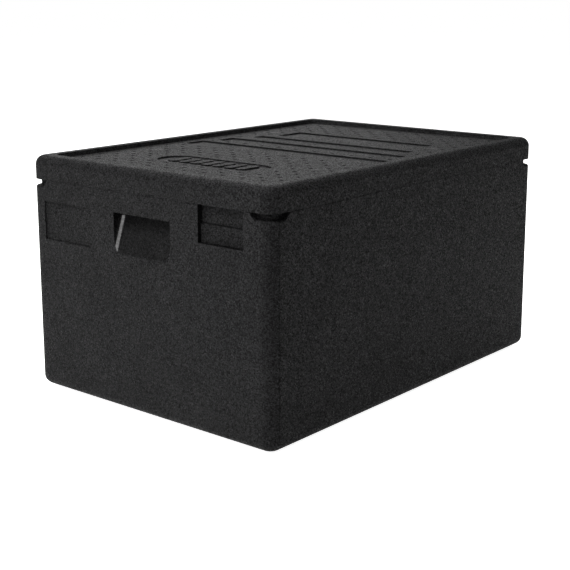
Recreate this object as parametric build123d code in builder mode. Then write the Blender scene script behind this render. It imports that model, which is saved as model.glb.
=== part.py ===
from build123d import *
from math import atan2, degrees, isclose
import os

# Insulated food carrier in moulded bead foam: a deep tub and a lift-off lid, in millimetres.
# Frame: origin on the ground at the centre of the footprint, +X along the length,
# +Y along the width, +Z up. The ends at -X and +X carry the grips.

# Overall sizes
LENGTH = 685.0
WIDTH = 485.0
HEIGHT = 370.0
CORNER_RADIUS = 20.0

# Tub
WALL = 30.0
FLOOR = 28.0
BOTTOM_RADIUS = 15.0
CAVITY_CORNER_RADIUS = 24.0
CAVITY_FLOOR_RADIUS = 12.0
CAVITY_LIP = 2.0
TUB_EDGE_RADIUS = 0.5

# Raised rails that keep trays off the tub's floor
RAIL_COUNT = 5
RAIL_PITCH = 95.0
RAIL_WIDTH = 14.0
RAIL_HEIGHT = 4.0
RAIL_END_GAP = 45.0
RAIL_EDGE = 1.5

# Foot under the tub, which drops into the recess of the lid below it in a stack
FOOT_HEIGHT = 6.0
FOOT_CLEARANCE = 3.0
FOOT_EDGE = 2.0

# Lid
LID_HEIGHT = 36.0
LID_TOP_RADIUS = 14.5
LID_LOWER_RADIUS = 0.5
RIM_WIDTH = 25.0
RECESS_DEPTH = 7.0
RECESS_CORNER_RADIUS = 14.0
RECESS_DRAFT = 12.0
RIM_EDGE_RADIUS = 1.5
SEAT_GAP = 0.3

# Plug under the lid and the tongue and groove around it, which seal the tub
PLUG_DEPTH = 12.0
PLUG_CLEARANCE = 1.5
PLUG_EDGE = 3.0
TONGUE_OFFSET = 16.0
TONGUE_WIDTH = 6.0
TONGUE_HEIGHT = 5.0
TONGUE_EDGE = 1.0
GROOVE_CLEARANCE = 0.8

# Shallow bars pressed into the lid's panel: centre in X, width in X, length in Y
BAR_DEPTH = 2.5
BAR_DRAFT = 10.0
BAR_CORNER_RADIUS = 3.0
BARS = (
    (-32.5, 45.0, 390.0),
    (31.0, 38.0, 363.0),
    (90.25, 24.5, 321.0),
    (155.0, 60.0, 284.0),
)

# Oblong badge recess in the lid's panel
BADGE_X = -193.5
BADGE_WIDTH = 63.0
BADGE_LENGTH = 210.0

# Plain ribs that stand in the badge recess, their tops level with the panel
RIB_COUNT = 7
RIB_PITCH = 23.0
RIB_WIDTH = 15.0
RIB_LENGTH = 42.0
RIB_CORNER_RADIUS = 5.5

# Grip: a finger scoop whose back wall starts flush at its lower edge and leans in to its ceiling
GRIP_WIDTH = 115.0
GRIP_HEIGHT = 60.0
GRIP_CEILING_DROP = 67.7
GRIP_DEPTH = 20.0
GRIP_SIDE_RADIUS = 7.5
GRIP_LIP_RADIUS = 1.5

# Label field beside the grip, a shallow flat panel in line with it
FIELD_WIDTH = 103.0
FIELD_HEIGHT = 59.5
FIELD_OFFSET = 160.3
FIELD_DEPTH = 2.3

# Card pocket on the grip's other side, open upwards to the lid, in two steps
POCKET_WIDTH = 82.5
POCKET_OFFSET = 152.4
POCKET_HEIGHT = 53.0
POCKET_STEP_DROP = 26.0
POCKET_LOWER_DEPTH = 6.0
POCKET_UPPER_DEPTH = 9.0

# Pry notches at the tub's four upper corners
NOTCH_REACH = 38.5
NOTCH_FLOOR_REACH = 30.0
NOTCH_HEIGHT = 9.5
NOTCH_DEPTH = 8.0
NOTCH_EDGE_RADIUS = 3.0

# Mould seams down the long sides
SEAM_OFFSET = 16.0
SEAM_WIDTH = 0.9
SEAM_DEPTH = 0.6

# How far a cutter starts outside the face that it cuts, and how near counts as on a face
REACH_OUT = 10.0
TOUCH = 0.001

# Worked out from the sizes above
seat_z = HEIGHT - LID_HEIGHT
tub_top = seat_z - SEAT_GAP
floor_z = FOOT_HEIGHT + FLOOR
panel_z = HEIGHT - RECESS_DEPTH
cavity_length = LENGTH - 2 * WALL
cavity_width = WIDTH - 2 * WALL
foot_inset = RIM_WIDTH + FOOT_CLEARANCE
notch_end_slope = degrees(atan2(NOTCH_REACH - NOTCH_FLOOR_REACH, NOTCH_HEIGHT))
grip_ceiling_z = HEIGHT - GRIP_CEILING_DROP
grip_floor_z = grip_ceiling_z - GRIP_HEIGHT
notch_floor_z = tub_top - NOTCH_HEIGHT
end_plane = Plane(origin=(-LENGTH / 2, 0, 0), x_dir=(0, 1, 0), z_dir=(1, 0, 0))
scoop_plane = Plane(
    origin=(-LENGTH / 2, 0, grip_floor_z),
    x_dir=(0, -1, 0),
    z_dir=(-GRIP_HEIGHT, 0, GRIP_DEPTH),
)
scoop_slope = Axis((0, 0, 0), (GRIP_DEPTH, 0, GRIP_HEIGHT))


def on_outside(edge):
    """Say whether both ends of an edge lie on the carrier's upright outer faces."""
    return all(
        isclose(abs(point.X), LENGTH / 2, abs_tol=TOUCH)
        or isclose(abs(point.Y), WIDTH / 2, abs_tol=TOUCH)
        for point in (edge @ 0, edge @ 1)
    )


def plan_outline(inset, corner_radius=None):
    """Sketch the carrier's rounded plan, set in from its outside, with concentric corners."""
    radius = corner_radius or max(CORNER_RADIUS - inset, 2.0)
    RectangleRounded(LENGTH - 2 * inset, WIDTH - 2 * inset, radius)


def plan_band(inset, width):
    """Sketch a band that runs round the plan, its outer edge set in from the outside."""
    plan_outline(inset)
    RectangleRounded(
        LENGTH - 2 * (inset + width),
        WIDTH - 2 * (inset + width),
        max(CORNER_RADIUS - inset - width, 1.0),
        mode=Mode.SUBTRACT,
    )


# The space inside the tub, with a rounded floor and a bevelled mouth
with BuildPart() as tub_space:
    with BuildSketch(Plane.XY.offset(floor_z)):
        RectangleRounded(cavity_length, cavity_width, CAVITY_CORNER_RADIUS)
    extrude(amount=tub_top - floor_z + REACH_OUT)
    fillet(tub_space.faces().sort_by(Axis.Z)[0].edges(), CAVITY_FLOOR_RADIUS)
    with BuildSketch(Plane.XY.offset(tub_top)):
        RectangleRounded(
            cavity_length + 2 * CAVITY_LIP,
            cavity_width + 2 * CAVITY_LIP,
            CAVITY_CORNER_RADIUS + CAVITY_LIP,
        )
    extrude(amount=-CAVITY_LIP, taper=45)

# The finger scoop of one grip: a leaning back wall that curves into upright sides
with BuildPart() as grip_scoop:
    with BuildSketch(scoop_plane):
        Rectangle(GRIP_WIDTH, 4 * GRIP_HEIGHT)
    extrude(amount=GRIP_DEPTH + REACH_OUT)
    scoop_back = grip_scoop.faces().sort_by(Axis((0, 0, 0), scoop_plane.z_dir))[0]
    fillet(scoop_back.edges().filter_by(scoop_slope), GRIP_SIDE_RADIUS)
    split(bisect_by=Plane.XY.offset(grip_ceiling_z), keep=Keep.BOTTOM)

# Everything pressed into one end: the grip, the label field and the two-step card pocket
with BuildPart() as end_recesses:
    add(grip_scoop.part)
    with BuildSketch(end_plane.offset(-REACH_OUT)):
        with Locations((FIELD_OFFSET, grip_ceiling_z)):
            Rectangle(FIELD_WIDTH, FIELD_HEIGHT, align=(Align.CENTER, Align.MAX))
    extrude(amount=REACH_OUT + FIELD_DEPTH)
    with BuildSketch(end_plane.offset(-REACH_OUT)):
        with Locations((-POCKET_OFFSET, tub_top - POCKET_HEIGHT)):
            Rectangle(POCKET_WIDTH, POCKET_HEIGHT + REACH_OUT, align=(Align.CENTER, Align.MIN))
    extrude(amount=REACH_OUT + POCKET_LOWER_DEPTH)
    with BuildSketch(end_plane.offset(-REACH_OUT)):
        with Locations((-POCKET_OFFSET, tub_top - POCKET_STEP_DROP)):
            Rectangle(POCKET_WIDTH, POCKET_STEP_DROP + REACH_OUT, align=(Align.CENTER, Align.MIN))
    extrude(amount=REACH_OUT + POCKET_UPPER_DEPTH)

# The pry notches: a square at each corner, its sides sloping in, kept outside an inner core
with BuildPart() as corner_notches:
    with BuildSketch(Plane.XY.offset(tub_top)):
        with GridLocations(LENGTH, WIDTH, 2, 2):
            Rectangle(2 * NOTCH_REACH, 2 * NOTCH_REACH)
    extrude(amount=-NOTCH_HEIGHT, taper=notch_end_slope)
    with BuildSketch(Plane.XY.offset(tub_top)):
        plan_outline(NOTCH_DEPTH)
    extrude(amount=-NOTCH_HEIGHT, mode=Mode.SUBTRACT)

# The tub
with BuildPart() as tub:
    with BuildSketch(Plane.XY.offset(FOOT_HEIGHT)):
        plan_outline(0)
    extrude(amount=tub_top - FOOT_HEIGHT)
    fillet(tub.faces().sort_by(Axis.Z)[0].edges(), BOTTOM_RADIUS)
    fillet(tub.faces().sort_by(Axis.Z)[-1].edges(), TUB_EDGE_RADIUS)

    with BuildSketch(Plane.XY.offset(FOOT_HEIGHT)):
        plan_outline(foot_inset, RECESS_CORNER_RADIUS)
    extrude(amount=-FOOT_HEIGHT)
    chamfer(tub.faces().sort_by(Axis.Z)[0].edges(), FOOT_EDGE)

    with BuildSketch(Plane.XY.offset(tub_top)):
        plan_band(TONGUE_OFFSET, TONGUE_WIDTH)
    extrude(amount=TONGUE_HEIGHT)
    chamfer(tub.faces().sort_by(Axis.Z)[-1].edges(), TONGUE_EDGE)

    add(tub_space.part, mode=Mode.SUBTRACT)
    add(end_recesses.part, mode=Mode.SUBTRACT)
    add(end_recesses.part, rotation=(0, 0, 180), mode=Mode.SUBTRACT)
    add(corner_notches.part, mode=Mode.SUBTRACT)

    notch_edges = tub.edges().filter_by_position(Axis.Z, notch_floor_z, notch_floor_z)
    fillet(notch_edges.filter_by(on_outside), NOTCH_EDGE_RADIUS)
    lip_edges = tub.edges().filter_by_position(Axis.Z, grip_ceiling_z, grip_ceiling_z)
    lip_edges = lip_edges.filter_by(on_outside).filter_by_position(Axis.Y, -TOUCH, TOUCH)
    fillet(lip_edges, GRIP_LIP_RADIUS)

    with Locations((0, 0, (FOOT_HEIGHT + BOTTOM_RADIUS + notch_floor_z) / 2)):
        with GridLocations(LENGTH - 2 * SEAM_OFFSET, WIDTH, 2, 2):
            Box(
                SEAM_WIDTH,
                2 * SEAM_DEPTH,
                notch_floor_z - FOOT_HEIGHT - BOTTOM_RADIUS,
                mode=Mode.SUBTRACT,
            )

    with BuildSketch(Plane.XY.offset(floor_z)):
        with GridLocations(RAIL_PITCH, 0, RAIL_COUNT, 1):
            Rectangle(RAIL_WIDTH, cavity_width - 2 * RAIL_END_GAP)
    extrude(amount=RAIL_HEIGHT)
    rail_tops = tub.faces().filter_by_position(Axis.Z, floor_z + RAIL_HEIGHT, floor_z + RAIL_HEIGHT)
    chamfer(rail_tops.edges(), RAIL_EDGE)
tub.part.label = "tub"

# The lid
with BuildPart() as lid:
    with BuildSketch(Plane.XY.offset(seat_z)):
        plan_outline(0)
    extrude(amount=LID_HEIGHT)
    fillet(lid.faces().sort_by(Axis.Z)[-1].edges(), LID_TOP_RADIUS)
    fillet(lid.faces().sort_by(Axis.Z)[0].edges(), LID_LOWER_RADIUS)

    with BuildSketch(Plane.XY.offset(HEIGHT)):
        plan_outline(RIM_WIDTH, RECESS_CORNER_RADIUS)
    extrude(amount=-RECESS_DEPTH, taper=RECESS_DRAFT, mode=Mode.SUBTRACT)
    rim = lid.faces().sort_by(Axis.Z)[-1]
    fillet(rim.inner_wires()[0].edges(), RIM_EDGE_RADIUS)

    for bar_x, bar_width, bar_length in BARS:
        with BuildSketch(Plane.XY.offset(panel_z)):
            with Locations((bar_x, 0)):
                RectangleRounded(bar_width, bar_length, BAR_CORNER_RADIUS)
        extrude(amount=-BAR_DEPTH, taper=BAR_DRAFT, mode=Mode.SUBTRACT)
    with BuildSketch(Plane.XY.offset(panel_z)):
        with Locations((BADGE_X, 0)):
            SlotOverall(BADGE_LENGTH, BADGE_WIDTH, rotation=90)
    extrude(amount=-BAR_DEPTH, taper=BAR_DRAFT, mode=Mode.SUBTRACT)
    with BuildSketch(Plane.XY.offset(panel_z)):
        with Locations((BADGE_X, 0)):
            with GridLocations(0, RIB_PITCH, 1, RIB_COUNT):
                RectangleRounded(RIB_LENGTH, RIB_WIDTH, RIB_CORNER_RADIUS)
    extrude(amount=-BAR_DEPTH, taper=-BAR_DRAFT)

    with BuildSketch(Plane.XY.offset(seat_z)):
        plan_band(TONGUE_OFFSET - GROOVE_CLEARANCE, TONGUE_WIDTH + 2 * GROOVE_CLEARANCE)
    extrude(amount=TONGUE_HEIGHT - SEAT_GAP + GROOVE_CLEARANCE, mode=Mode.SUBTRACT)

    with BuildSketch(Plane.XY.offset(seat_z)):
        RectangleRounded(
            cavity_length - 2 * PLUG_CLEARANCE,
            cavity_width - 2 * PLUG_CLEARANCE,
            CAVITY_CORNER_RADIUS - PLUG_CLEARANCE,
        )
    extrude(amount=-PLUG_DEPTH)
    fillet(lid.faces().sort_by(Axis.Z)[0].edges(), PLUG_EDGE)
lid.part.label = "lid"

os.makedirs("parts", exist_ok=True)
export_step(tub.part, "parts/tub.step")
export_step(lid.part, "parts/lid.step")
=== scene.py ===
import logging
import math
from dataclasses import dataclass
from enum import Enum

import bmesh
import bpy
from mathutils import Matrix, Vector


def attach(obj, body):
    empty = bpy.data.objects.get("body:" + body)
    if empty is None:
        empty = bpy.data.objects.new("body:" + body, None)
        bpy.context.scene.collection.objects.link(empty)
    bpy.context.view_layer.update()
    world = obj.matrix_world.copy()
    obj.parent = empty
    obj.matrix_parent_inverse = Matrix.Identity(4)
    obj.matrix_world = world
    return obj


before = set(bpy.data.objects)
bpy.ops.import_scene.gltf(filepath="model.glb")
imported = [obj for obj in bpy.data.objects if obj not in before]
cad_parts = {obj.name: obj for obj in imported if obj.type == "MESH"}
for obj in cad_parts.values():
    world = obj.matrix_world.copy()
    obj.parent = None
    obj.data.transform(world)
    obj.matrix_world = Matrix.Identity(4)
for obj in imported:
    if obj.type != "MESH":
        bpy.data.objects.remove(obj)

logging.basicConfig(level=logging.INFO, format="%(name)s: %(message)s")
LOG = logging.getLogger("carrier")
MM = 0.001
WHITE = (1.0, 1.0, 1.0, 1.0)


class Blend(Enum):
    """How two values in a node tree are joined."""

    TIMES = "MULTIPLY"
    OVER = "DIVIDE"
    MINUS = "SUBTRACT"
    MOST = "MAXIMUM"
    MODULO = "FLOORED_MODULO"


class Graph:
    """A thin layer over a node tree that keeps materials and node groups short to write."""

    def __init__(self, tree: bpy.types.NodeTree) -> None:
        """Hold the tree.

        Args:
            tree: The tree that nodes are added to.
        """
        self.tree = tree

    def node(self, kind: str, **settings) -> bpy.types.Node:
        """Add a node and set its properties.

        Args:
            kind: The node's type.
            **settings: Properties of the node, by name.

        Returns:
            The new node.
        """
        made = self.tree.nodes.new(kind)
        for name, value in settings.items():
            setattr(made, name, value)
        return made

    def join(self, source: bpy.types.NodeSocket, target: bpy.types.NodeSocket) -> None:
        """Link an output to an input.

        Args:
            source: The output.
            target: The input.
        """
        self.tree.links.new(source, target)

    def math(self, kind: Blend, first: bpy.types.NodeSocket | float,
             second: bpy.types.NodeSocket | float) -> bpy.types.NodeSocket:
        """Join two values.

        Args:
            kind: How they are joined.
            first: The first value, a socket or a number.
            second: The second value, a socket or a number.

        Returns:
            The result.
        """
        made = self.node("ShaderNodeMath", operation=kind.value)
        for value, socket in zip((first, second), made.inputs):
            if isinstance(value, (int, float)):
                socket.default_value = value
            else:
                self.join(value, socket)
        return made.outputs[0]

    def near(self, value: bpy.types.NodeSocket, middle: float, reach: float) -> bpy.types.NodeSocket:
        """Test whether a value lies near another.

        Args:
            value: The value.
            middle: What it is compared with.
            reach: How far it may lie from the middle.

        Returns:
            1 within reach of the middle, 0 beyond it.
        """
        test = self.node("ShaderNodeMath", operation="COMPARE")
        test.inputs[1].default_value = middle
        test.inputs[2].default_value = reach
        self.join(value, test.inputs[0])
        return test.outputs[0]

    def spread(self, value: bpy.types.NodeSocket, low: float, high: float,
               start: float = 0.0, end: float = 1.0, smooth: bool = False) -> bpy.types.NodeSocket:
        """Map a value from one range to another.

        Args:
            value: The value.
            low: What start becomes.
            high: What end becomes.
            start: Lower end of the value's range.
            end: Upper end of the value's range.
            smooth: Whether the steps at both ends are eased.

        Returns:
            The mapped value.
        """
        made = self.node("ShaderNodeMapRange")
        made.interpolation_type = "SMOOTHSTEP" if smooth else "LINEAR"
        for socket, number in (("From Min", start), ("From Max", end), ("To Min", low), ("To Max", high)):
            made.inputs[socket].default_value = number
        self.join(value, made.inputs["Value"])
        return made.outputs["Result"]


@dataclass(frozen=True)
class Zone:
    """A stretch of the tub at one end and, turned half round, at the other, in metres.

    Attributes:
        x: Least and greatest distance from the middle along the length.
        y: Least and greatest place across, counted rightwards as seen when facing the end.
        z: Least and greatest height.
    """

    x: tuple[float, float]
    y: tuple[float, float]
    z: tuple[float, float]

    def mask(self, graph: Graph, place: bpy.types.NodeSocket) -> bpy.types.NodeSocket:
        """Make a value that is 1 inside the zone and 0 outside it.

        Args:
            graph: The material's graph.
            place: Object coordinates.

        Returns:
            The mask.
        """
        split = graph.node("ShaderNodeSeparateXYZ")
        graph.join(place, split.inputs["Vector"])
        end = graph.node("ShaderNodeMath", operation="SIGN")
        graph.join(split.outputs["X"], end.inputs[0])
        along = graph.math(Blend.TIMES, split.outputs["X"], end.outputs[0])
        across = graph.math(Blend.TIMES, split.outputs["Y"], end.outputs[0])
        inside = None
        for value, (low, high) in ((along, self.x), (across, self.y), (split.outputs["Z"], self.z)):
            test = graph.near(value, (low + high) / 2, (high - low) / 2)
            inside = test if inside is None else graph.math(Blend.TIMES, inside, test)
        return inside


def union(graph: Graph, zones: tuple[Zone, ...], place: bpy.types.NodeSocket) -> bpy.types.NodeSocket:
    """Make a value that is 1 inside any of some zones.

    Args:
        graph: The material's graph.
        zones: The zones.
        place: Object coordinates.

    Returns:
        The mask.
    """
    cover = zones[0].mask(graph, place)
    for zone in zones[1:]:
        cover = graph.math(Blend.MOST, cover, zone.mask(graph, place))
    return cover


@dataclass(frozen=True)
class BeadFoam:
    """Moulded bead foam: packed beads about 2 mm across, near black and matt.

    The values are given, not measured from foam.

    Attributes:
        name: The material's name.
        tone: Linear grey of an average bead's face.
        bead: Size of a bead across, in metres.
        relief: How deep the joints between beads are, in metres.
        tilt: How far beads' faces lean away from the surface, as a slope.
        roughness: Roughness of an average bead's face.
        gloss: Specular level of the foam, set far below that of plain plastic.
        contrast: How far beads differ in tone, as a share of the tone.
        sealed: Zones given a smooth, glossy skin, as if the beads were fused there. A guess.
        skin: How strong the glossy skin is there.
        painted_shade: Zones given a darker tone, a guess: painted shade standing in for the shadow on the
            real foam.
        painted_shade_tone: The tone of the painted shade, as a share of the tone elsewhere.
        deep_painted_shade: Narrow zones of corners and steps given a deeper painted shade. A guess as well.
        deep_painted_shade_tone: The tone of the deeper painted shade, as a share of the tone elsewhere.
        blue: Blue of the grey, as a share of its red and green.
        joint: Width of the joints between beads, as a share of a bead.
        joint_tones: Tone in a joint and on a bead, as shares of the tone.
        cloud_scale: Clouds to a metre, which shade the foam unevenly.
        cloud_tones: Tone of the darkest and the lightest clouds, as shares of the tone.
        cloud_range: Values of the noise that those two tones stand for.
        grain_scale: Grains to a metre of the fine grain on the beads.
        grain_share: Depth of the grain, as a share of the relief.
        roughness_reach: How far beads differ in roughness, up and down.
        skin_patches: Least strength of the glossy skin, as a share of its greatest.
        skin_roughness: Roughness of the glossy skin.
        skin_ior: Index of refraction of the glossy skin, set above a real plastic's to brighten it.
    """

    name: str
    tone: float = 0.012
    bead: float = 0.0018
    relief: float = 0.0004
    tilt: float = 0.6
    roughness: float = 0.55
    gloss: float = 0.055
    contrast: float = 0.95
    sealed: tuple[Zone, ...] = ()
    skin: float = 0.95
    painted_shade: tuple[Zone, ...] = ()
    painted_shade_tone: float = 0.62
    deep_painted_shade: tuple[Zone, ...] = ()
    deep_painted_shade_tone: float = 0.25
    blue: float = 1.03
    joint: float = 0.16
    joint_tones: tuple[float, float] = (0.5, 1.08)
    cloud_scale: float = 14
    cloud_tones: tuple[float, float] = (0.88, 1.12)
    cloud_range: tuple[float, float] = (0.35, 0.65)
    grain_scale: float = 1100
    grain_share: float = 0.2
    roughness_reach: float = 0.16
    skin_patches: float = 0.55
    skin_roughness: float = 0.12
    skin_ior: float = 1.75

    def material(self) -> bpy.types.Material:
        """Build the material.

        Returns:
            The finished material.
        """
        mat = bpy.data.materials.new(self.name)
        mat.use_nodes = True
        graph = Graph(mat.node_tree)
        shader = mat.node_tree.nodes["Principled BSDF"]
        shader.inputs["Specular IOR Level"].default_value = self.gloss
        place = graph.node("ShaderNodeTexCoord").outputs["Object"]

        cells = graph.node("ShaderNodeTexVoronoi")
        edges = graph.node("ShaderNodeTexVoronoi", feature="DISTANCE_TO_EDGE")
        for texture in (cells, edges):
            texture.inputs["Scale"].default_value = 1 / self.bead
            graph.join(place, texture.inputs["Vector"])
        chance = graph.node("ShaderNodeSeparateColor")
        graph.join(cells.outputs["Color"], chance.inputs["Color"])
        face = graph.spread(edges.outputs["Distance"], 0, 1, 0, self.joint, smooth=True)

        self.colour(graph, shader, place, chance.outputs["Red"], face)
        low, high = self.roughness - self.roughness_reach, self.roughness + self.roughness_reach
        graph.join(graph.spread(chance.outputs["Blue"], low, high), shader.inputs["Roughness"])
        self.lean(graph, shader, place, cells.outputs["Color"], face)
        if self.sealed:
            patches = graph.spread(chance.outputs["Green"], self.skin_patches * self.skin, self.skin)
            cover = graph.math(Blend.TIMES, union(graph, self.sealed, place), patches)
            graph.join(cover, shader.inputs["Coat Weight"])
            shader.inputs["Coat Roughness"].default_value = self.skin_roughness
            shader.inputs["Coat IOR"].default_value = self.skin_ior
        return mat

    def noise(self, graph: Graph, place: bpy.types.NodeSocket, scale: float,
              detail: float) -> bpy.types.NodeSocket:
        """Add a noise texture.

        Args:
            graph: The material's graph.
            place: Object coordinates.
            scale: Lumps to a metre.
            detail: How many finer layers it has.

        Returns:
            The noise, from 0 to 1.
        """
        texture = graph.node("ShaderNodeTexNoise")
        texture.inputs["Scale"].default_value = scale
        texture.inputs["Detail"].default_value = detail
        graph.join(place, texture.inputs["Vector"])
        return texture.outputs["Fac"]

    def colour(self, graph: Graph, shader: bpy.types.Node, place: bpy.types.NodeSocket,
               chance: bpy.types.NodeSocket, face: bpy.types.NodeSocket) -> None:
        """Give each bead its grey, darker in the joints and with painted shade in the zones.

        Args:
            graph: The material's graph.
            shader: The surface shader.
            place: Object coordinates.
            chance: One random value to a bead.
            face: 1 on a bead's face, 0 in a joint.
        """
        clouds = self.noise(graph, place, self.cloud_scale, detail=4)
        tone = graph.spread(chance, 1 - self.contrast, 1 + self.contrast)
        tone = graph.math(Blend.TIMES, tone, graph.spread(clouds, *self.cloud_tones, *self.cloud_range))
        tone = graph.math(Blend.TIMES, tone, graph.spread(face, *self.joint_tones))
        # Painted shade: the tone is lowered where shade falls, on the grip's back wall and, deeper still,
        # on narrow recess walls, steps and seam lines.
        for zones, share in ((self.painted_shade, self.painted_shade_tone), (self.deep_painted_shade, self.deep_painted_shade_tone)):
            if zones:
                tone = graph.math(Blend.TIMES, tone, graph.spread(union(graph, zones, place), 1, share))
        tone = graph.math(Blend.TIMES, tone, self.tone)
        grey = graph.node("ShaderNodeCombineColor")
        for channel, tint in (("Red", 1.0), ("Green", 1.0), ("Blue", self.blue)):
            graph.join(graph.math(Blend.TIMES, tone, tint), grey.inputs[channel])
        graph.join(grey.outputs["Color"], shader.inputs["Base Color"])

    def lean(self, graph: Graph, shader: bpy.types.Node, place: bpy.types.NodeSocket,
             chance: bpy.types.NodeSocket, face: bpy.types.NodeSocket) -> None:
        """Sink the joints, roughen the faces and lean each bead its own way.

        Args:
            graph: The material's graph.
            shader: The surface shader.
            place: Object coordinates.
            chance: One random colour to a bead.
            face: 1 on a bead's face, 0 in a joint.
        """
        joints = graph.node("ShaderNodeBump")
        joints.inputs["Distance"].default_value = self.relief
        graph.join(face, joints.inputs["Height"])
        grains = graph.node("ShaderNodeBump")
        grains.inputs["Distance"].default_value = self.relief * self.grain_share
        graph.join(self.noise(graph, place, self.grain_scale, detail=1), grains.inputs["Height"])
        graph.join(joints.outputs["Normal"], grains.inputs["Normal"])

        centred = graph.node("ShaderNodeVectorMath", operation="SUBTRACT")
        centred.inputs[1].default_value = (0.5, 0.5, 0.5)
        graph.join(chance, centred.inputs[0])
        scaled = graph.node("ShaderNodeVectorMath", operation="SCALE")
        scaled.inputs["Scale"].default_value = self.tilt
        graph.join(centred.outputs["Vector"], scaled.inputs[0])
        added = graph.node("ShaderNodeVectorMath", operation="ADD")
        graph.join(grains.outputs["Normal"], added.inputs[0])
        graph.join(scaled.outputs["Vector"], added.inputs[1])
        unit = graph.node("ShaderNodeVectorMath", operation="NORMALIZE")
        graph.join(added.outputs["Vector"], unit.inputs[0])
        graph.join(unit.outputs["Vector"], shader.inputs["Normal"])


@dataclass(frozen=True)
class TubZones:
    """Where the tub's foam gets a glossy skin or painted shade, in metres.

    The glossy skin is a guess about the material; the darker zones are painted shade. With
    empty tuples in their place, the foam has one tone and one skin all over.

    Attributes:
        grip_x: Least and greatest distance of the grip's hollow from the middle.
        grip_z: Least and greatest height of the grip's side walls.
        grip_side: Middle and half width of the band at each side of the grip.
        grip_back: Reach of the grip's back wall across, and its least and greatest height, where shade is
            painted.
        grip_wall: Least and greatest place across of the grip's side wall, where deeper shade is painted.
        pocket_x: Least and greatest distance of the card pocket's hollow from the middle.
        pocket_y: Least and greatest place across of the card pocket.
        pocket_wall: Place across where the band of painted shade on the pocket's side wall ends.
        pocket_z: Least and greatest height of the card pocket.
        pocket_ledge: Least and greatest height of its lower ledge, which is given painted shade.
        pocket_step: Greatest distance of its step from the middle, and the least and greatest height of the
            step's band of painted shade.
        seam: Reach of a line of painted shade in the groove taken for a mould seam, along the length,
            across and in height.
    """

    grip_x: tuple[float, float] = (322 * MM, 341.9 * MM)
    grip_z: tuple[float, float] = (243 * MM, 302.4 * MM)
    grip_side: tuple[float, float] = (53.9 * MM, 3.9 * MM)
    grip_back: tuple[float, float, float] = (57.3 * MM, 242.6 * MM, 302.2 * MM)
    grip_wall: tuple[float, float] = (-58.5 * MM, -56.5 * MM)
    pocket_x: tuple[float, float] = (333 * MM, 341.9 * MM)
    pocket_y: tuple[float, float] = (110.5 * MM, 194 * MM)
    pocket_wall: float = 111.7 * MM
    pocket_z: tuple[float, float] = (280 * MM, 333.7 * MM)
    pocket_ledge: tuple[float, float] = (280.2 * MM, 281.3 * MM)
    pocket_step: tuple[float, float, float] = (337.2 * MM, 307.2 * MM, 308.4 * MM)
    seam: tuple[tuple[float, float], ...] = (
        (325.9 * MM, 327.1 * MM), (241 * MM, 243 * MM), (21 * MM, 324 * MM),
    )

    def sealed(self) -> tuple[Zone, ...]:
        """Find the glossy bands at both sides of the grip.

        Returns:
            The left band and the right one.
        """
        middle, half = self.grip_side
        return tuple(Zone(self.grip_x, (side * middle - half, side * middle + half), self.grip_z)
                     for side in (-1, 1))

    def painted_shade(self) -> tuple[Zone, ...]:
        """Find the grip's back wall, which is given painted shade.

        Returns:
            The wall, as the only zone.
        """
        reach, low, high = self.grip_back
        return (Zone(self.grip_x, (-reach, reach), (low, high)),)

    def deep_painted_shade(self) -> tuple[Zone, ...]:
        """Find the narrow zones of the recesses' walls and steps and of the lines taken for seams, which
        are given deeper painted shade.

        Returns:
            One zone of the grip, three of the card pocket and two of the lines.
        """
        step_x, step_low, step_high = self.pocket_step
        along, (near, far), height = self.seam
        return (
            Zone(self.grip_x, self.grip_wall, self.grip_z),
            Zone(self.pocket_x, (self.pocket_y[0], self.pocket_wall), self.pocket_z),
            Zone(self.pocket_x, self.pocket_y, self.pocket_ledge),
            Zone((self.pocket_x[0], step_x), self.pocket_y, (step_low, step_high)),
            Zone(along, (near, far), height),
            Zone(along, (-far, -near), height),
        )


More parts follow.
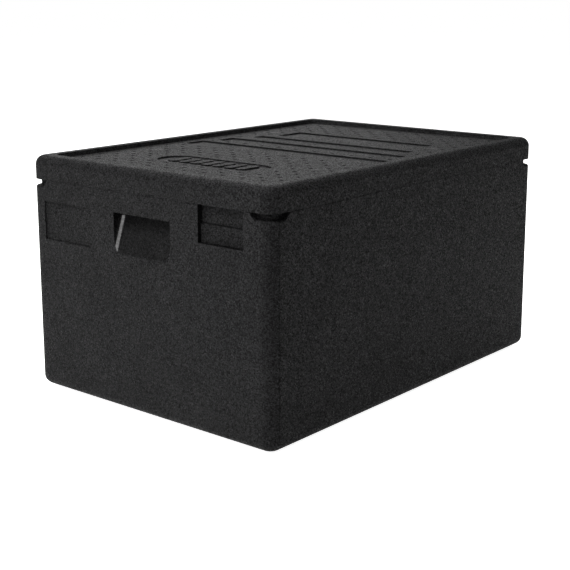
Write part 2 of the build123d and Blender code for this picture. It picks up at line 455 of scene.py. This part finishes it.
@dataclass(frozen=True)
class LidMarks:
    """What the mould's vents and filling nozzles leave on the lid's panel.

    Attributes:
        lid_height: Height of the lid's top, in metres.
        recess: Depth of the panel below the lid's top.
        panel: Length and width of the panel.
        pitch: Distance between vents along the length, and between rows across it.
        clear: Distance kept between a vent and a sunken bar or the badge.
        hollows: Centre in X, width in X and length in Y of each hollow in the panel.
        slit: Length, width and height of the rib that one slit of a vent leaves.
        slit_sides: Number of sides of the round profile that a rib is swept from.
        slits: Number of slits in a vent.
        slit_pitch: Distance between a vent's slits.
        nozzle: Radius and height of a filling nozzle's mark.
        nozzle_rings: Profile of the mark from its foot inwards, as shares of its radius and height.
        nozzle_steps: Number of sides of the mark.
        nozzle_place: Distance of the nozzles from the panel's middle, in X and Y.
    """

    lid_height: float = 370 * MM
    recess: float = 7 * MM
    panel: tuple[float, float] = (629 * MM, 429 * MM)
    pitch: tuple[float, float] = (36.5 * MM, 18.5 * MM)
    clear: float = 7 * MM
    hollows: tuple[tuple[float, float, float], ...] = (
        (-193.5 * MM, 63 * MM, 210 * MM),
        (-32.5 * MM, 45 * MM, 390 * MM),
        (31 * MM, 38 * MM, 363 * MM),
        (90.25 * MM, 24.5 * MM, 321 * MM),
        (155 * MM, 60 * MM, 284 * MM),
    )
    slit: tuple[float, float, float] = (6 * MM, 1.1 * MM, 0.55 * MM)
    slit_sides: int = 8
    slits: int = 2
    slit_pitch: float = 3.0 * MM
    nozzle: tuple[float, float] = (10 * MM, 0.35 * MM)
    nozzle_rings: tuple[tuple[float, float], ...] = (
        (1.0, -0.5), (1.0, 0.5), (0.94, 1.0), (0.62, 1.0), (0.58, 0.55), (0.52, 0.55), (0.48, 1.0),
    )
    nozzle_steps: int = 48
    nozzle_place: tuple[float, float] = (147 * MM, 168 * MM)

    def vent_tree(self, finish: bpy.types.Material) -> bpy.types.NodeTree:
        """Build the node group that sets out staggered vents and grows their ribs.

        Args:
            finish: The material of the ribs.

        Returns:
            The node group.
        """
        tree = bpy.data.node_groups.new("vent_marks", "GeometryNodeTree")
        for name, kind in (
            ("Columns", "NodeSocketInt"), ("Rows", "NodeSocketInt"),
            ("Column Pitch", "NodeSocketFloat"), ("Row Pitch", "NodeSocketFloat"),
            ("Slit Length", "NodeSocketFloat"), ("Slit Radius", "NodeSocketFloat"),
            ("Slit Flatness", "NodeSocketFloat"), ("Slits", "NodeSocketInt"),
            ("Slit Pitch", "NodeSocketFloat"), ("Panel Height", "NodeSocketFloat"),
        ):
            tree.interface.new_socket(name=name, in_out="INPUT", socket_type=kind)
        tree.interface.new_socket(name="Marks", in_out="OUTPUT", socket_type="NodeSocketGeometry")
        graph = Graph(tree)
        given = graph.node("NodeGroupInput").outputs

        spots = graph.node("GeometryNodeMeshGrid")
        for axis, count, pitch in (("X", "Columns", "Column Pitch"), ("Y", "Rows", "Row Pitch")):
            graph.join(given[count], spots.inputs[f"Vertices {axis}"])
            gaps = graph.math(Blend.MINUS, given[count], 1)
            graph.join(graph.math(Blend.TIMES, gaps, given[pitch]), spots.inputs[f"Size {axis}"])
        place = graph.node("ShaderNodeSeparateXYZ")
        graph.join(graph.node("GeometryNodeInputPosition").outputs[0], place.inputs[0])

        row = graph.node("ShaderNodeMath", operation="ROUND")
        graph.join(graph.math(Blend.OVER, place.outputs["Y"], given["Row Pitch"]), row.inputs[0])
        odd = graph.math(Blend.MODULO, row.outputs[0], 2)
        shift = graph.math(Blend.TIMES, graph.math(Blend.TIMES, odd, given["Column Pitch"]), 0.5)
        offset = graph.node("ShaderNodeCombineXYZ")
        graph.join(shift, offset.inputs["X"])
        graph.join(given["Panel Height"], offset.inputs["Z"])
        moved = graph.node("GeometryNodeSetPosition")
        graph.join(spots.outputs["Mesh"], moved.inputs["Geometry"])
        graph.join(offset.outputs[0], moved.inputs["Offset"])

        half_x, half_y = (size / 2 - self.clear for size in self.panel)
        dropped = graph.math(Blend.MINUS, 1, self.within(graph, place, 0, half_x, half_y))
        for centre, width, length in self.hollows:
            hollow = self.within(graph, place, centre, width / 2 + self.clear, length / 2 + self.clear)
            dropped = graph.math(Blend.MOST, dropped, hollow)
        kept = graph.node("GeometryNodeDeleteGeometry", domain="POINT")
        graph.join(moved.outputs["Geometry"], kept.inputs["Geometry"])
        graph.join(dropped, kept.inputs["Selection"])

        planted = graph.node("GeometryNodeInstanceOnPoints")
        graph.join(kept.outputs["Geometry"], planted.inputs["Points"])
        graph.join(self.vent_shape(graph, given), planted.inputs["Instance"])
        solid = graph.node("GeometryNodeRealizeInstances")
        graph.join(planted.outputs["Instances"], solid.inputs["Geometry"])
        dressed = graph.node("GeometryNodeSetMaterial")
        dressed.inputs["Material"].default_value = finish
        graph.join(solid.outputs["Geometry"], dressed.inputs["Geometry"])
        graph.join(dressed.outputs["Geometry"], graph.node("NodeGroupOutput").inputs["Marks"])
        return tree

    @staticmethod
    def within(graph: Graph, place: bpy.types.Node, centre: float,
               half_x: float, half_y: float) -> bpy.types.NodeSocket:
        """Test whether a point lies in a rectangle on the lid's width axis.

        Args:
            graph: The node group's graph.
            place: The node that splits the point's position.
            centre: The rectangle's centre in X.
            half_x: Half its size in X.
            half_y: Half its size in Y.

        Returns:
            1 inside the rectangle, 0 outside it.
        """
        along = graph.near(place.outputs["X"], centre, half_x)
        across = graph.near(place.outputs["Y"], 0, half_y)
        return graph.math(Blend.TIMES, along, across)

    def vent_shape(self, graph: Graph, given: bpy.types.bpy_prop_collection) -> bpy.types.NodeSocket:
        """Build one vent's ribs: half-round, side by side.

        Args:
            graph: The node group's graph.
            given: The group's inputs.

        Returns:
            The vent as geometry.
        """
        half = graph.math(Blend.TIMES, given["Slit Length"], 0.5)
        ends = []
        for sign in (-1, 1):
            end = graph.node("ShaderNodeCombineXYZ")
            graph.join(graph.math(Blend.TIMES, half, sign), end.inputs["Y"])
            ends.append(end.outputs[0])
        line = graph.node("GeometryNodeCurvePrimitiveLine")
        graph.join(ends[0], line.inputs["Start"])
        graph.join(ends[1], line.inputs["End"])
        profile = graph.node("GeometryNodeCurvePrimitiveCircle")
        profile.inputs["Resolution"].default_value = self.slit_sides
        graph.join(given["Slit Radius"], profile.inputs["Radius"])
        rib = graph.node("GeometryNodeCurveToMesh")
        rib.inputs["Fill Caps"].default_value = True
        graph.join(line.outputs[0], rib.inputs["Curve"])
        graph.join(profile.outputs[0], rib.inputs["Profile Curve"])
        scale = graph.node("ShaderNodeCombineXYZ")
        scale.inputs["X"].default_value = scale.inputs["Y"].default_value = 1
        graph.join(given["Slit Flatness"], scale.inputs["Z"])
        flat = graph.node("GeometryNodeTransform")
        graph.join(rib.outputs[0], flat.inputs["Geometry"])
        graph.join(scale.outputs[0], flat.inputs["Scale"])

        step = graph.node("ShaderNodeCombineXYZ")
        graph.join(given["Slit Pitch"], step.inputs["X"])
        rank = graph.node("GeometryNodeMeshLine")
        graph.join(given["Slits"], rank.inputs["Count"])
        graph.join(step.outputs[0], rank.inputs["Offset"])
        spread = graph.node("GeometryNodeInstanceOnPoints")
        graph.join(rank.outputs[0], spread.inputs["Points"])
        graph.join(flat.outputs[0], spread.inputs["Instance"])
        vent = graph.node("GeometryNodeRealizeInstances")
        graph.join(spread.outputs[0], vent.inputs[0])
        return vent.outputs[0]

    def vents(self, finish: bpy.types.Material) -> bpy.types.Object:
        """Grow the vents' ribs on the panel.

        Args:
            finish: The material of the ribs.

        Returns:
            The ribs as one plain mesh.
        """
        tree = self.vent_tree(finish)
        length, width, height = self.slit
        numbers = {
            "Columns": 2 * int(self.panel[0] / self.pitch[0] / 2) + 1,
            "Rows": 2 * int(self.panel[1] / self.pitch[1] / 2) + 1,
            "Column Pitch": self.pitch[0], "Row Pitch": self.pitch[1],
            "Slit Length": length, "Slit Radius": width / 2, "Slit Flatness": 2 * height / width,
            "Slits": self.slits, "Slit Pitch": self.slit_pitch,
            "Panel Height": self.lid_height - self.recess,
        }
        grower = bpy.data.objects.new("grower", bpy.data.meshes.new("grower"))
        bpy.context.scene.collection.objects.link(grower)
        modifier = grower.modifiers.new("vents", "NODES")
        modifier.node_group = tree
        for socket in tree.interface.items_tree:
            if socket.in_out == "INPUT":
                modifier[socket.identifier] = numbers[socket.name]
        grown = grower.evaluated_get(bpy.context.evaluated_depsgraph_get())
        mesh = bpy.data.meshes.new_from_object(grown)
        mesh.name = "vent_marks"
        bpy.data.objects.remove(grower)
        for face in mesh.polygons:
            face.use_smooth = len(face.vertices) == 4
        marks = bpy.data.objects.new("vent_marks", mesh)
        bpy.context.scene.collection.objects.link(marks)
        return marks

    def nozzles(self, finish: bpy.types.Material) -> bpy.types.Object:
        """Build the four round marks of the filling nozzles.

        Args:
            finish: Their material.

        Returns:
            The marks as one mesh.
        """
        radius, height = self.nozzle
        steps = self.nozzle_steps
        mesh = bmesh.new()
        for x in (-self.nozzle_place[0], self.nozzle_place[0]):
            for y in (-self.nozzle_place[1], self.nozzle_place[1]):
                loops = [[
                    mesh.verts.new((
                        x + radius * reach * math.cos(step * math.tau / steps),
                        y + radius * reach * math.sin(step * math.tau / steps),
                        self.lid_height - self.recess + height * rise,
                    )) for step in range(steps)
                ] for reach, rise in self.nozzle_rings]
                for lower, upper in zip(loops, loops[1:]):
                    for step in range(steps):
                        after = (step + 1) % steps
                        mesh.faces.new((lower[step], lower[after], upper[after], upper[step]))
                mesh.faces.new(loops[-1])
                mesh.faces.new(list(reversed(loops[0])))
        data = bpy.data.meshes.new("nozzle_marks")
        mesh.to_mesh(data)
        mesh.free()
        data.materials.append(finish)
        marks = bpy.data.objects.new("nozzle_marks", data)
        bpy.context.scene.collection.objects.link(marks)
        return marks

    def build(self, foam: bpy.types.Material, worn: bpy.types.Material) -> None:
        """Make all the marks and hand them to the lid.

        Args:
            foam: The lid's foam.
            worn: The smoother foam at the nozzles.
        """
        for piece in (self.vents(foam), self.nozzles(worn)):
            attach(piece, "lid")
            LOG.info("built %s with %d faces", piece.name, len(piece.data.polygons))


@dataclass(frozen=True)
class SoftBox:
    """One soft rectangular light.

    Attributes:
        name: The light's name.
        place: Where it hangs, in metres.
        size: Its width and height, in metres.
        watts: Its power.
        aim: The point that it faces.
    """

    name: str
    place: tuple[float, float, float]
    size: tuple[float, float]
    watts: float
    aim: tuple[float, float, float] = (0.0, 0.0, 0.18)

    def hang(self) -> None:
        """Make the light and turn it to its aim."""
        lamp = bpy.data.lights.new(self.name, "AREA")
        lamp.shape = "RECTANGLE"
        lamp.size, lamp.size_y = self.size
        lamp.energy = self.watts
        holder = bpy.data.objects.new(self.name, lamp)
        bpy.context.scene.collection.objects.link(holder)
        holder.location = self.place
        turn = (Vector(self.aim) - Vector(self.place)).to_track_quat("-Z", "Y")
        holder.rotation_euler = turn.to_euler()


@dataclass(frozen=True)
class Studio:
    """Plain pale floor, soft lights and the camera.

    Attributes:
        lens: Focal length, in millimetres.
        sensor: Width of the sensor, in millimetres.
        shift: How far the picture is shifted, in X and Y.
        azimuth: Direction of the camera from the target, in degrees.
        elevation: Height of the camera above the target, in degrees.
        distance: Distance of the camera from the target, in metres.
        target: The point that the camera faces.
        horizon: Greatest distance that the camera sees, in metres.
        floor_size: Width and length of the floor, in metres.
        floor_gap: How far the floor lies below the foot, in metres.
        floor_tone: Grey of the floor.
        floor_roughness: Roughness of the floor.
        floor_gloss: Specular level of the floor.
        floor_seen: How strongly the floor glows as the camera sees it.
        floor_glow: How strongly the floor lights the carrier.
        room: How strongly the room lights the carrier.
        boxes: The soft boxes.
    """

    lens: float = 75.86
    sensor: float = 36
    shift: tuple[float, float] = (-0.0124, -0.0789)
    azimuth: float = -50.31
    elevation: float = 11.97
    distance: float = 2.0935
    target: tuple[float, float, float] = (0.0899, 0.0818, 0.188)
    horizon: float = 100
    floor_size: float = 60
    floor_gap: float = 0.3 * MM
    floor_tone: float = 0.8
    floor_roughness: float = 0.9
    floor_gloss: float = 0.1
    floor_seen: float = 0.96
    floor_glow: float = 0.42
    room: float = 0.05
    boxes: tuple[SoftBox, ...] = (
        SoftBox("overhead_box", (0.5, 0.6, 2.6), (2.4, 2.4), 55),
        SoftBox("left_box", (-1.6, 0.3, 2.3), (1.8, 1.4), 94),
        SoftBox("right_box", (1.8, -1.6, 1.5), (1.2, 1.2), 9),
        SoftBox("low_box", (-2.3, -0.5, 0.95), (2.6, 0.6), 14),
        SoftBox("back_box", (1.8, 2.0, 1.6), (2.0, 1.6), 25),
    )

    def lay_floor(self) -> None:
        """Lay the floor under the carrier, clear from beneath so that the underside can be seen."""
        bpy.ops.mesh.primitive_plane_add(size=self.floor_size, location=(0, 0, -self.floor_gap))
        floor = bpy.context.object
        floor.name = "floor"
        mat = bpy.data.materials.new("floor_paper")
        mat.use_nodes = True
        shader = mat.node_tree.nodes["Principled BSDF"]
        shader.inputs["Base Color"].default_value = (self.floor_tone,) * 3 + (1.0,)
        shader.inputs["Roughness"].default_value = self.floor_roughness
        shader.inputs["Specular IOR Level"].default_value = self.floor_gloss
        shader.inputs["Emission Color"].default_value = WHITE
        graph = Graph(mat.node_tree)
        seen = graph.node("ShaderNodeLightPath").outputs["Is Camera Ray"]
        graph.join(graph.spread(seen, self.floor_glow, self.floor_seen), shader.inputs["Emission Strength"])
        underneath = graph.node("ShaderNodeNewGeometry").outputs["Backfacing"]
        clear = graph.node("ShaderNodeBsdfTransparent")
        sides = graph.node("ShaderNodeMixShader")
        graph.join(underneath, sides.inputs["Fac"])
        graph.join(shader.outputs["BSDF"], sides.inputs[1])
        graph.join(clear.outputs["BSDF"], sides.inputs[2])
        graph.join(sides.outputs["Shader"], mat.node_tree.nodes["Material Output"].inputs["Surface"])
        floor.data.materials.append(mat)

    def light_room(self) -> None:
        """Light the room evenly, with a white background behind it."""
        world = bpy.data.worlds.new("room")
        bpy.context.scene.world = world
        world.use_nodes = True
        graph = Graph(world.node_tree)
        room = world.node_tree.nodes["Background"]
        room.inputs["Color"].default_value = WHITE
        room.inputs["Strength"].default_value = self.room
        seen = graph.node("ShaderNodeBackground")
        seen.inputs["Color"].default_value = WHITE
        path = graph.node("ShaderNodeLightPath")
        mix = graph.node("ShaderNodeMixShader")
        graph.join(path.outputs["Is Camera Ray"], mix.inputs["Fac"])
        graph.join(room.outputs["Background"], mix.inputs[1])
        graph.join(seen.outputs["Background"], mix.inputs[2])
        graph.join(mix.outputs["Shader"], world.node_tree.nodes["World Output"].inputs["Surface"])

    def stand_camera(self) -> None:
        """Stand the camera at a low three-quarter view of a grip end and a long side."""
        data = bpy.data.cameras.new("camera")
        camera = bpy.data.objects.new("camera", data)
        bpy.context.scene.collection.objects.link(camera)
        azimuth, elevation = math.radians(self.azimuth), math.radians(self.elevation)
        back = Vector((
            math.sin(azimuth) * math.cos(elevation),
            -math.cos(azimuth) * math.cos(elevation),
            math.sin(elevation),
        ))
        camera.location = Vector(self.target) + back * self.distance
        camera.rotation_euler = (-back).to_track_quat("-Z", "Y").to_euler()
        data.lens = self.lens
        data.sensor_width = self.sensor
        data.shift_x, data.shift_y = self.shift
        data.clip_end = self.horizon
        bpy.context.scene.camera = camera

    def build(self) -> None:
        """Set the whole studio up."""
        self.lay_floor()
        self.light_room()
        for box in self.boxes:
            box.hang()
        self.stand_camera()
        bpy.context.scene.view_settings.view_transform = "Standard"


def main() -> None:
    """Dress the carrier and set up the studio."""
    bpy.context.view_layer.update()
    # The tub's zones give the grip glossy bands and paint shade into the grip, the card pocket and the seam
    # lines.
    zones = TubZones()
    finishes = {
        "tub": BeadFoam("tub_bead_foam", sealed=zones.sealed(), painted_shade=zones.painted_shade(),
                        deep_painted_shade=zones.deep_painted_shade()).material(),
        "lid": BeadFoam("lid_bead_foam").material(),
    }
    for node, finish in finishes.items():
        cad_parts[node].material_slots[0].material = finish
        LOG.info("dressed %s", node)
    worn = BeadFoam("nozzle_bead_foam", tone=0.015, relief=0.0002, tilt=0.25, gloss=0.09).material()
    LidMarks().build(finishes["lid"], worn)
    Studio().build()


if __name__ == "__main__":
    main()
